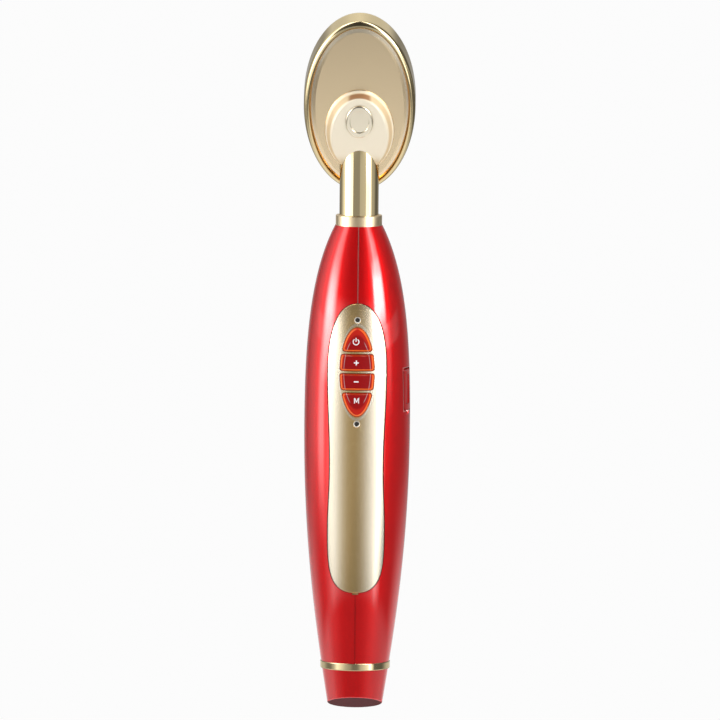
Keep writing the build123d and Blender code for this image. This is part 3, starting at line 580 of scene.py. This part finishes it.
def lit_key(name):
    """Translucent red key: a dark top, pale inner lines that are painted highlights, and orange bevels with
    a painted glow that it also emits.
    """
    finishes = bpy.context.scene.wand_finishes
    material, g = new_material(name)
    x, y = g.parts(g.place())[:2]
    nx, ny, nz = g.parts(g.node("ShaderNodeNewGeometry", out="True Normal"))
    reach = (x * x + y * y) ** 0.5
    facing = (nx * x + ny * y) / reach
    bevel = 1.0 - facing.ramp(*KEY_BEVEL)
    across = abs(nx - x / reach * facing)
    under = nz.ramp(*FACES_DOWN) * UNDER_GLOW
    lit_side = (across * SIDE_GLOW).least(1.0).most(under).most(LEAST_GLOW)
    oval = keys_oval(g)
    sway = g.noise(KEY_GRAIN)
    rim = oval.ramp(*KEY_RIM)
    line = between(oval, *KEY_LINE) * abs(x).ramp(*KEY_LINE_SIDES)
    # painted glow near the rim and painted highlight of the pale inner line
    top = g.mix(rim * 0.5, finishes.key_red, finishes.key_painted_glow)
    top = g.mix(line * (LINE_SHOWS[0] + LINE_SHOWS[1] * sway), top, finishes.mark)
    # painted glow on the bevels, brightest on those facing sideways
    glow = bevel * lit_side
    base = g.mix(glow * (EDGE_SHOWS[0] + EDGE_SHOWS[1] * sway), top, finishes.key_bevel_painted_light)
    # the painted glow is also emitted, though the keys hold no lamp
    g.finish(
        g.shader(
            Base_Color=base,
            Roughness=0.20 + sway * 0.05,
            Specular_IOR_Level=0.2,
            Coat_Weight=0.25,
            Coat_Roughness=0.05,
            Emission_Color=g.mix(glow, g.mix(rim, *KEY_PAINTED_INNER_GLOW), finishes.key_bevel_painted_light),
            Emission_Strength=0.30,
        )
    )
    return material


def panel_metal(name):
    """Satin gold with painted highlights on its pale sides and on the lips round the keys, and bright
    countersinks at the indicators.
    """
    finishes = bpy.context.scene.wand_finishes
    material, g = new_material(name)
    x, _, z = g.parts(g.place())
    fine, clouded = blasted(g)
    # painted highlight: the panel's sides turn paler
    side = abs(x - PANEL_MIDDLE).ramp(*PANEL_HIGHLIGHT_FADE)
    tones = (finishes.panel_gold, finishes.panel_highlight_pale)
    plated = g.mix(side, *tones)
    worn = g.mix(side, *[dim(tone, 0.95) for tone in tones])
    # painted highlight on the lips round the keys
    lips = between(keys_oval(g), *KEY_LIPS) * LIP_GLEAM
    near = 1.0
    for height in LENS_HEIGHTS:
        near = (((z - height) ** 2 + x**2) ** 0.5 * (1 / MM)).least(near)
    sink = 1.0 - near.ramp(*SINK_EDGE)
    g.finish(
        g.shader(
            Base_Color=g.mix(lips.most(sink), g.mix(clouded, worn, plated), SINK_GOLD),
            Metallic=1.0 - sink * METAL_LOSS,
            Roughness=0.24 + fine * 0.05,
            Normal=g.bump(fine, 0.08, GRAIN_DEPTH),
        )
    )
    return material


def moulded(name, tone, roughness):
    """Plain moulded or printed matter for the inner pieces."""
    material, g = new_material(name)
    fine = g.noise(MOULD_GRAIN)
    g.finish(
        g.shader(
            Base_Color=g.mix(fine, dim(tone, 0.75), tone),
            Roughness=(roughness - 0.05) + fine * 0.1,
            Normal=g.bump(fine, 0.2, MOULD_DEPTH),
        )
    )
    return material


# ------------------------------------------------------------------ shading normals of long curved faces
def handle_normals(points):
    """Outward normals of the handle's form at some points."""
    flat = np.linalg.norm(points[:, :2], axis=1)
    flat[flat < 1e-9] = 1e-9
    rise = -np.interp(points[:, 2], HEIGHTS, SLOPES)
    found = np.column_stack([points[:, 0] / flat, points[:, 1] / flat, rise])
    return found / np.linalg.norm(found, axis=1)[:, None]


def smooth_on(name, normals, nearness=0.97, angle=math.radians(32)):
    """Shades a CAD node smoothly, with exact normals where its faces lie on a known form."""
    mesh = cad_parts[name].data
    mesh.polygons.foreach_set("use_smooth", np.ones(len(mesh.polygons), bool))
    mesh.set_sharp_from_angle(angle=angle)
    count = len(mesh.loops)
    corner = np.zeros(count * 3, np.float32)
    mesh.corner_normals.foreach_get("vector", corner)
    corner = corner.reshape(-1, 3)
    if normals is not None:
        points = np.zeros(len(mesh.vertices) * 3, np.float32)
        mesh.vertices.foreach_get("co", points)
        points = points.reshape(-1, 3)
        vertex = np.zeros(count, np.int32)
        mesh.loops.foreach_get("vertex_index", vertex)
        exact = normals(points[vertex])
        face = np.zeros(len(mesh.polygons) * 3, np.float32)
        mesh.polygons.foreach_get("normal", face)
        total = np.zeros(len(mesh.polygons), np.int32)
        mesh.polygons.foreach_get("loop_total", total)
        face = np.repeat(face.reshape(-1, 3), total, axis=0)
        lies = np.einsum("ij,ij->i", face, exact) > nearness
        corner[lies] = exact[lies]
    mesh.normals_split_custom_set(corner.tolist())


# ------------------------------------------------------------------ printed marks
POWER_GAP = math.radians(32)
RING_STEPS = 40
PRINT_GRAIN = 4000.0


def new_object(name, data):
    made = bpy.data.objects.new(name, data)
    bpy.context.scene.collection.objects.link(made)
    return made


def power_mark(marks):
    """Outlines of the power mark: an open ring and a bar."""
    outer, inner = marks.ring, marks.ring - marks.stroke
    sweep = 2 * math.pi - 2 * POWER_GAP
    turns = [POWER_GAP + sweep * i / RING_STEPS for i in range(RING_STEPS + 1)]
    ring = [
        [
            (outer * math.sin(a), outer * math.cos(a)),
            (outer * math.sin(b), outer * math.cos(b)),
            (inner * math.sin(b), inner * math.cos(b)),
            (inner * math.sin(a), inner * math.cos(a)),
        ]
        for a, b in zip(turns, turns[1:])
    ]
    half = marks.stroke / 2
    return [*ring, *bar(0, 0.05 * marks.ring, 0, 1.2 * marks.ring, half)]


def bar(x0, y0, x1, y1, half, steps=6):
    """A straight stroke as a row of quads."""
    along = Vector((x1 - x0, y1 - y0))
    side = Vector((-along.y, along.x)).normalized() * half
    start = Vector((x0, y0))
    quads = []
    for i in range(steps):
        a = start + along * (i / steps)
        b = start + along * ((i + 1) / steps)
        quads.append([tuple(a - side), tuple(b - side), tuple(b + side), tuple(a + side)])
    return quads


def plus_mark(marks):
    half = marks.stroke * 0.62
    return [
        *bar(-marks.arm, 0, marks.arm, 0, half),
        *bar(0, half, 0, marks.arm, half, 3),
        *bar(0, -marks.arm, 0, -half, half, 3),
    ]


def minus_mark(marks):
    return bar(-marks.arm, 0, marks.arm, 0, marks.stroke * 0.6)


def mode_mark(marks):
    half, tall, wide = marks.stroke / 2, marks.letter, marks.letter * 0.92
    slant = half * 0.9
    return [
        *bar(-wide + half, -tall, -wide + half, tall, half),
        *bar(wide - half, -tall, wide - half, tall, half),
        *bar(-wide + 2 * half, tall - slant, 0, -tall * 0.62, slant),
        *bar(wide - 2 * half, tall - slant, 0, -tall * 0.62, slant),
    ]


# each key's mark, and where it lies: across and up
MARKS = {
    "power": (power_mark, (-0.0004, 0.1131)),
    "plus": (plus_mark, (-0.00025, 0.1067)),
    "minus": (minus_mark, (-0.00025, 0.1009)),
    "mode": (mode_mark, (-0.0001, 0.0951)),
}
# height of the keys' crowns above the casing
KEY_PROUD = 0.00075


def print_mark(name, quads, centre, material):
    """Lays a mark's quads on the crown of a key, as a thin raised print."""
    relief = bpy.context.scene.wand_marks.relief
    shape = bmesh.new()
    for quad in quads:
        layers = []
        for lift in (-relief, relief):
            layer = []
            for u, v in quad:
                x, z = centre[0] + u, centre[1] + v
                reach = handle_radius(z) + KEY_PROUD + lift
                layer.append(shape.verts.new((x, -math.sqrt(reach * reach - x * x), z)))
            layers.append(layer)
        low, high = layers
        shape.faces.new(high)
        shape.faces.new(reversed(low))
        for i in range(4):
            j = (i + 1) % 4
            shape.faces.new((low[i], low[j], high[j], high[i]))
    bmesh.ops.recalc_face_normals(shape, faces=shape.faces)
    mesh = bpy.data.meshes.new(f"{name}_mark")
    shape.to_mesh(mesh)
    shape.free()
    mesh.materials.append(material)
    piece = new_object(f"{name}_mark", mesh)
    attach(piece, f"{name}_key")


# ------------------------------------------------------------------ operators
class WAND_OT_paint(bpy.types.Operator):
    """Paint the casings, the end cap and the port cover"""

    bl_idname = "wand.paint"
    bl_label = "Painted casings"

    def execute(self, context):
        paint = candy_paint("candy_red")
        names = ("left_casing", "right_casing", "end_cap", "port_cover")
        dress(paint, *names)
        for name in names:
            smooth_on(name, handle_normals)
        return {"FINISHED"}


class WAND_OT_panel(bpy.types.Operator):
    """Finish the inlaid front panel and its indicators"""

    bl_idname = "wand.panel"
    bl_label = "Front panel"

    def execute(self, context):
        dress(panel_metal("satin_gold_panel"), "front_panel")
        smooth_on("front_panel", handle_normals)
        material, g = new_material("smoked_lens")
        g.finish(
            g.shader(
                Base_Color=g.mix(g.noise(900.0), (0.012, 0.010, 0.009), (0.03, 0.024, 0.02)),
                Roughness=0.08,
                Coat_Weight=1.0,
            )
        )
        dress(material, "indicator_lenses")
        smooth_on("indicator_lenses", None)
        return {"FINISHED"}


class WAND_OT_keys(bpy.types.Operator):
    """Finish the four keys and print their marks"""

    bl_idname = "wand.keys"
    bl_label = "Keys"

    def execute(self, context):
        finishes = context.scene.wand_finishes
        material, g = new_material("key_print")
        print_tone = g.mix(g.noise(PRINT_GRAIN), dim(finishes.mark, 0.92), finishes.mark)
        g.finish(g.shader(Base_Color=print_tone, Roughness=0.4))
        lit = lit_key("lit_key_red")
        for name, (outline, centre) in MARKS.items():
            dress(lit, f"{name}_button")
            smooth_on(f"{name}_button", handle_normals, 0.985, math.radians(25))
            print_mark(name, outline(context.scene.wand_marks), centre, material)
        return {"FINISHED"}


class WAND_OT_trim(bpy.types.Operator):
    """Finish the end ring, the collar and the neck tube"""

    bl_idname = "wand.trim"
    bl_label = "Ring, collar and tube"

    def execute(self, context):
        finishes = context.scene.wand_finishes
        bright = finishes.bright_gold
        dress(polished_metal("polished_tube", bright, 0.05), "neck_tube")
        dress(polished_metal("polished_ring", bright, 0.10), "end_ring")
        dress(satin_metal("satin_collar", finishes.satin_gold, 0.34), "neck_collar")
        for name in ("neck_tube", "end_ring", "neck_collar"):
            smooth_on(name, None)
        return {"FINISHED"}


class WAND_OT_head(bpy.types.Operator):
    """Finish the head shell, its plate and the plug"""

    bl_idname = "wand.head"
    bl_label = "Heated head"

    def execute(self, context):
        finishes = context.scene.wand_finishes
        dress(head_shell_metal("polished_shell"), "contact_shell")
        dress(head_plate_metal("satin_plate"), "back_plate")
        dress(polished_metal("polished_plug", finishes.boss_gold, 0.14), "screw_plug")
        for name in ("contact_shell", "back_plate", "screw_plug"):
            smooth_on(name, None)
        return {"FINISHED"}


# inner materials: colour, roughness and the nodes that they are for
INNER = {
    "solder_mask": ((0.03, 0.16, 0.07), 0.35, ("main_board", "charge_board")),
    "chip_epoxy": ((0.03, 0.03, 0.03), 0.5, ("controller_chip", "thermistor")),
    "plunger_black": (
        (0.04, 0.04, 0.04),
        0.4,
        ("power_plunger", "plus_plunger", "minus_plunger", "mode_plunger"),
    ),
    "header_nylon": ((0.75, 0.73, 0.66), 0.5, ("wire_header",)),
    "led_resin": ((0.85, 0.5, 0.18), 0.2, ("indicator_leds",)),
    "cell_wrap": ((0.10, 0.22, 0.45), 0.3, ("battery_cell",)),
    "grey_foam": ((0.18, 0.18, 0.18), 0.9, ("battery_pads",)),
    "black_rubber": ((0.03, 0.03, 0.03), 0.7, ("motor_sleeve", "head_seal", "head_lead")),
    "amber_film": ((0.55, 0.24, 0.05), 0.3, ("heater_film",)),
    "white_felt": ((0.72, 0.72, 0.68), 0.95, ("insulation_pad",)),
}
STEEL = (
    "tact_switches",
    "battery_contacts",
    "motor_can",
    "motor_shaft",
    "eccentric_weight",
    "charging_socket",
    "port_hinge_pin",
    "tube_clip",
    "plate_screw",
)


class WAND_OT_inner(bpy.types.Operator):
    """Finish the pieces inside the wand"""

    bl_idname = "wand.inner"
    bl_label = "Inner pieces"

    def execute(self, context):
        for name, (tone, roughness, nodes) in INNER.items():
            dress(moulded(name, tone, roughness), *nodes)
        dress(satin_metal("plated_steel", (0.56, 0.55, 0.53), 0.3, 4000.0), *STEEL)
        return {"FINISHED"}


# ------------------------------------------------------------------ studio
# the tent is a round wall that only reflections see
TENT_RADIUS = 0.32
TENT_LOW, TENT_HIGH = -0.33, 0.75
FLOOR_SIZE = 60.0
WAND_MIDDLE = Vector((0.00071, 0.0, 0.10587))
LENS = 1000.0
# brightness of the tent's wall by direction: degrees from the keys' side, level
TENT_SIDE = (
    (-180, 0.45),
    (-152, 0.35),
    (-138, 0.10),
    (-112, 0.14),
    (-85, 0.20),
    (-72, 0.60),
    (-60, 1.45),
    (-44, 0.95),
    (-30, 0.55),
    (-17, 0.38),
    (2, 0.34),
    (15, 0.48),
    (29, 0.80),
    (43, 1.20),
    (50, 3.00),
    (58, 1.20),
    (66, 0.14),
    (120, 0.10),
    (150, 0.25),
    (180, 0.45),
)
# the same at the height that the neck tube sees
TENT_NECK = (
    (-180, 0.45),
    (-130, 0.35),
    (-112, 0.50),
    (-70, 0.75),
    (-40, 0.70),
    (-35, 0.33),
    (3, 0.33),
    (7, 0.58),
    (38, 0.66),
    (80, 0.48),
    (130, 0.40),
    (180, 0.45),
)
# the same low down, where the wand's foot sees it
TENT_FOOT = (
    (-180, 0.08),
    (-140, 0.50),
    (-112, 0.75),
    (-90, 0.80),
    (-70, 0.35),
    (-40, 0.13),
    (12, 0.12),
    (30, 0.18),
    (60, 0.42),
    (110, 0.60),
    (140, 0.40),
    (180, 0.08),
)
# the highest level in these three lists
WALL_PEAK = 3.0
# heights over which the foot's levels give way to the wall's, and those over which a card ends
FOOT_TOP = (-0.080, -0.058)
CARD_TOP = (-0.26, -0.20)
CARD_LEVEL = 0.95
# the strip between the boxes is darker from this height up
HIGH_CENTRE = (0.165, 0.20)
HIGH_WINDOW = ((-75, -50), (30, 42))
HIGH_SHADE = 0.85
# the wall behind the wand, past these degrees, is lighter high up and low down
BACK_WINDOW = (95, 130)
HIGH_BACK = (0.25, 0.35)
HIGH_BACK_GLOW = 0.45
LOW_BACK = (-0.050, 0.045)
LOW_BACK_GLOW = 0.55
# heights between which the neck tube sees the wall, with its own two narrow boxes
NECK_BAND = ((0.111, 0.116), (0.138, 0.143))
NECK_BOXES = (((-66, -35), (2, 2)), ((42, 74), (2, 3)))
NECK_LEVEL = 1.5
NECK_SIDES = (95, 120)
# each soft box: its width in degrees, how soft its ends are, and its level by height
SOFT_BOXES = (
    (
        (-84, -60),
        (9, 9),
        (
            *((0.08, 0), (0.11, 4.5), (0.16, 8.6), (0.20, 6.5), (0.23, 4.0)),
            *((0.25, 2.8), (0.27, 2.1), (0.33, 1.5), (0.46, 1.4), (0.50, 4)),
        ),
    ),
    (
        (-91, -76),
        (6, 4),
        ((-0.02, 0), (0.0, 0.3), (0.022, 1.1), (0.045, 1.9), (0.09, 2.2), (0.12, 0)),
    ),
    (
        (-120, -72),
        (28, 6),
        ((-0.03, 0), (0.0, 0.15), (0.022, 0.3), (0.045, 0.5), (0.12, 0.55), (0.4, 0.6)),
    ),
    (
        (41, 69),
        (3, 5),
        ((0.13, 0), (0.155, 7.5), (0.17, 11), (0.222, 11), (0.25, 5), (0.29, 0)),
    ),
    (
        (50, 68),
        (4, 5),
        ((0.24, 0), (0.265, 2.5), (0.34, 2.2), (0.39, 1.2), (0.46, 1.2), (0.50, 4)),
    ),
    (
        (63, 80),
        (5, 4),
        ((0.055, 0.0), (0.075, 0.3), (0.092, 0.5), (0.12, 0.6), (0.14, 0.3), (0.16, 0.0)),
    ),
)
# a level that none of the boxes reaches
BOX_PEAK = 12.0
# heights between which the ring above the end cap sees the wall: a darker middle, lighter ends
RING_BAND = ((-0.036, -0.030), (-0.014, -0.008))
RING_WINDOW = ((-16, -6), (8, 18))
RING_SHADE = 0.5
# the floor's grain and own light to the camera, the world's light on the object, where lamps aim
FLOOR_GRAIN = 3.0
FLOOR_LIT = 0.96
WORLD_LEVEL = 0.35
LAMP_AIM = Vector((0, 0, 0.11))


def background_rays(g):
    """1 for rays that show the plain background."""
    path = g.node("ShaderNodeLightPath").out.node
    camera, glossy, through = [
        Value(g, path.outputs[name])
        for name in ("Is Camera Ray", "Is Glossy Ray", "Is Transmission Ray")
    ]
    return camera.most(glossy).most(through)


def build_floor(drop):
    mesh = bpy.data.meshes.new("studio_floor")
    half = FLOOR_SIZE / 2
    low = CAD_BOX[0][2] - drop
    corners = [(-half, -half, low), (half, -half, low), (half, half, low), (-half, half, low)]
    mesh.from_pydata(corners, [], [(0, 1, 2, 3)])
    floor = new_object("studio_floor", mesh)
    material, g = new_material("floor_paper")
    tone = bpy.context.scene.wand_finishes.floor
    paper = g.mix(g.noise(FLOOR_GRAIN), tone, dim(tone, 0.98))
    pale = g.shader(Base_Color=paper, Roughness=1.0, Specular_IOR_Level=0.0)
    lit = g.node("ShaderNodeEmission", None, {"Color": (1, 1, 1, 1), "Strength": 1.0})
    path = g.node("ShaderNodeLightPath").out.node
    camera = Value(g, path.outputs["Is Camera Ray"])
    g.finish(g.node("ShaderNodeMixShader", None, {0: camera * FLOOR_LIT, 1: pale, 2: lit}))
    mesh.materials.append(material)


def read_off(g, value, steps, peak):
    """A level for each value, straight between the steps that a list gives."""
    low, high = steps[0][0], steps[-1][0]
    stops = [((place - low) / (high - low), level / peak) for place, level in steps]
    ramp = g.node("ShaderNodeValToRGB", {"stops": stops}, {0: (value - low) / (high - low)})
    return g.parts(ramp)[0] * peak


def box_window(turn, ends, soft):
    """1 inside a soft box's width."""
    first, last = ends
    return between(
        turn, (first - soft[0], first + soft[0]), (last - soft[1], last + soft[1])
    )


def wall_turn(g):
    """Direction of a place round the wand, in degrees from the keys' side."""
    x, y = g.parts(g.place())[:2]
    return g.node("ShaderNodeMath", {"operation": "ARCTAN2"}, {0: x, 1: 0.0 - y}) * (180 / math.pi)


def tent_level(g):
    """Brightness of the tent's wall by height and direction: broad levels with soft boxes on them."""
    z = g.parts(g.place())[2]
    turn = wall_turn(g)
    side, neck, foot = [
        read_off(g, turn, levels, WALL_PEAK) for levels in (TENT_SIDE, TENT_NECK, TENT_FOOT)
    ]
    band = between(z, *NECK_BAND) * (1.0 - abs(turn).ramp(*NECK_SIDES))
    centre = between(turn, *HIGH_WINDOW)
    side = side * (1.0 - centre * z.ramp(*HIGH_CENTRE) * HIGH_SHADE)
    back_glow = z.ramp(*HIGH_BACK) * HIGH_BACK_GLOW + (1.0 - z.ramp(*LOW_BACK)) * LOW_BACK_GLOW
    side = side + abs(turn).ramp(*BACK_WINDOW) * back_glow
    ring = between(z, *RING_BAND) * between(turn, *RING_WINDOW)
    side = side * (1.0 - ring * RING_SHADE)
    for box in NECK_BOXES:
        neck = neck + NECK_LEVEL * box_window(turn, *box)
    wall = side + (neck - side) * band
    for ends, soft, steps in SOFT_BOXES:
        wall = wall + box_window(turn, ends, soft) * read_off(g, z, steps, BOX_PEAK)
    foot = foot + (CARD_LEVEL - foot) * (1.0 - z.ramp(*CARD_TOP))
    return foot + (wall - foot) * z.ramp(*FOOT_TOP)


def build_tent():
    """A wall round the wand that only reflections see."""
    shape = bmesh.new()
    bmesh.ops.create_cone(
        shape,
        cap_ends=True,
        segments=96,
        radius1=TENT_RADIUS,
        radius2=TENT_RADIUS,
        depth=TENT_HIGH - TENT_LOW,
        matrix=Matrix.Translation((0, 0, (TENT_HIGH + TENT_LOW) / 2)),
    )
    mesh = bpy.data.meshes.new("studio_tent")
    shape.to_mesh(mesh)
    shape.free()
    tent = new_object("studio_tent", mesh)
    material, g = new_material("tent_cloth")
    g.finish(
        g.shader(
            Base_Color=(0, 0, 0, 1),
            Roughness=1.0,
            Specular_IOR_Level=0.0,
            Emission_Color=tent_level(g),
            Emission_Strength=1.0,
        )
    )
    mesh.materials.append(material)
    reflected_only(tent)


def reflected_only(sheet):
    """Keeps a lit sheet to the reflections."""
    sheet.visible_camera = False
    sheet.visible_diffuse = False
    sheet.visible_transmission = False
    sheet.visible_shadow = False


def build_world():
    world = bpy.data.worlds.new("studio_world")
    world.use_nodes = True
    bpy.context.scene.world = world
    g = Graph(world.node_tree)
    shows = background_rays(g)
    strength = WORLD_LEVEL + shows * (1.0 - WORLD_LEVEL)
    back = g.node("ShaderNodeBackground", None, {"Color": (1, 1, 1, 1), "Strength": strength})
    g.finish(back, "ShaderNodeOutputWorld")


def build_lamp(name, azimuth, height, distance, size, watts):
    lamp = bpy.data.lights.new(name, "AREA")
    lamp.shape = "RECTANGLE"
    lamp.size, lamp.size_y = size
    lamp.energy = watts
    made = new_object(name, lamp)
    turn = math.radians(azimuth)
    made.location = (distance * math.sin(turn), -distance * math.cos(turn), height)
    aim = LAMP_AIM - made.location
    made.rotation_euler = aim.to_track_quat("-Z", "Y").to_euler()
    made.visible_glossy = False
    made.visible_camera = False


# the lamps: direction in degrees, height, distance, size, and watts at a lamp level of a half
LAMPS = (
    ("left_box", -62, 0.5, 1.2, (0.9, 1.4), 10.0),
    ("right_box", 58, 0.5, 1.2, (0.6, 1.4), 12.0),
    ("top_box", 10, 1.5, 0.4, (1.2, 1.2), 5.0),
)


def build_camera(studio):
    data = bpy.data.cameras.new("studio_camera")
    data.lens = LENS
    data.sensor_width = 36.0
    data.clip_end = 100.0
    camera = new_object("studio_camera", data)
    rise, roll = studio.camera_height, studio.camera_roll
    swing = Matrix.Rotation(studio.camera_azimuth, 3, "Z")
    ahead = swing @ Vector((0, math.cos(rise), -math.sin(rise)))
    up = swing @ Vector((0, math.sin(rise), math.cos(rise)))
    side = swing @ Vector((1, 0, 0))
    right = side * math.cos(roll) + up * math.sin(roll)
    top = up * math.cos(roll) - side * math.sin(roll)
    turn = Matrix((right, top, -ahead)).transposed().to_4x4()
    turn.translation = WAND_MIDDLE - ahead * studio.camera_distance
    camera.matrix_world = turn
    bpy.context.scene.camera = camera


class WAND_OT_studio(bpy.types.Operator):
    """Build the floor, the reflecting tent, the lamps and the camera"""

    bl_idname = "wand.studio"
    bl_label = "Studio"

    def execute(self, context):
        studio = context.scene.wand_studio
        context.scene.view_settings.view_transform = "Standard"
        build_floor(studio.floor_drop)
        build_tent()
        build_world()
        for *place, watts in LAMPS:
            build_lamp(*place, watts * 2 * studio.lamp_share)
        build_camera(studio)
        return {"FINISHED"}


OPERATORS = (
    WAND_OT_paint,
    WAND_OT_panel,
    WAND_OT_keys,
    WAND_OT_trim,
    WAND_OT_head,
    WAND_OT_inner,
    WAND_OT_studio,
)


class WAND_PT_wand(bpy.types.Panel):
    """Lists the wand's operators and settings."""

    bl_label = "Eye massager wand"
    bl_idname = "WAND_PT_wand"
    bl_space_type = "VIEW_3D"
    bl_region_type = "UI"
    bl_category = "Wand"

    def draw(self, context):
        for operator in OPERATORS:
            self.layout.operator(operator.bl_idname)
        for name, group in GROUPS.items():
            box = self.layout.box()
            for field in group.__annotations__:
                box.prop(getattr(context.scene, name), field)


def register():
    for kind in (*GROUPS.values(), *OPERATORS, WAND_PT_wand):
        bpy.utils.register_class(kind)
    for name, group in GROUPS.items():
        setattr(bpy.types.Scene, name, PointerProperty(type=group))


def unregister():
    for name in GROUPS:
        delattr(bpy.types.Scene, name)
    for kind in reversed((*GROUPS.values(), *OPERATORS, WAND_PT_wand)):
        bpy.utils.unregister_class(kind)


def main():
    register()
    for operator in OPERATORS:
        group, name = operator.bl_idname.split(".")
        getattr(getattr(bpy.ops, group), name)()


if __name__ == "__main__":
    main()
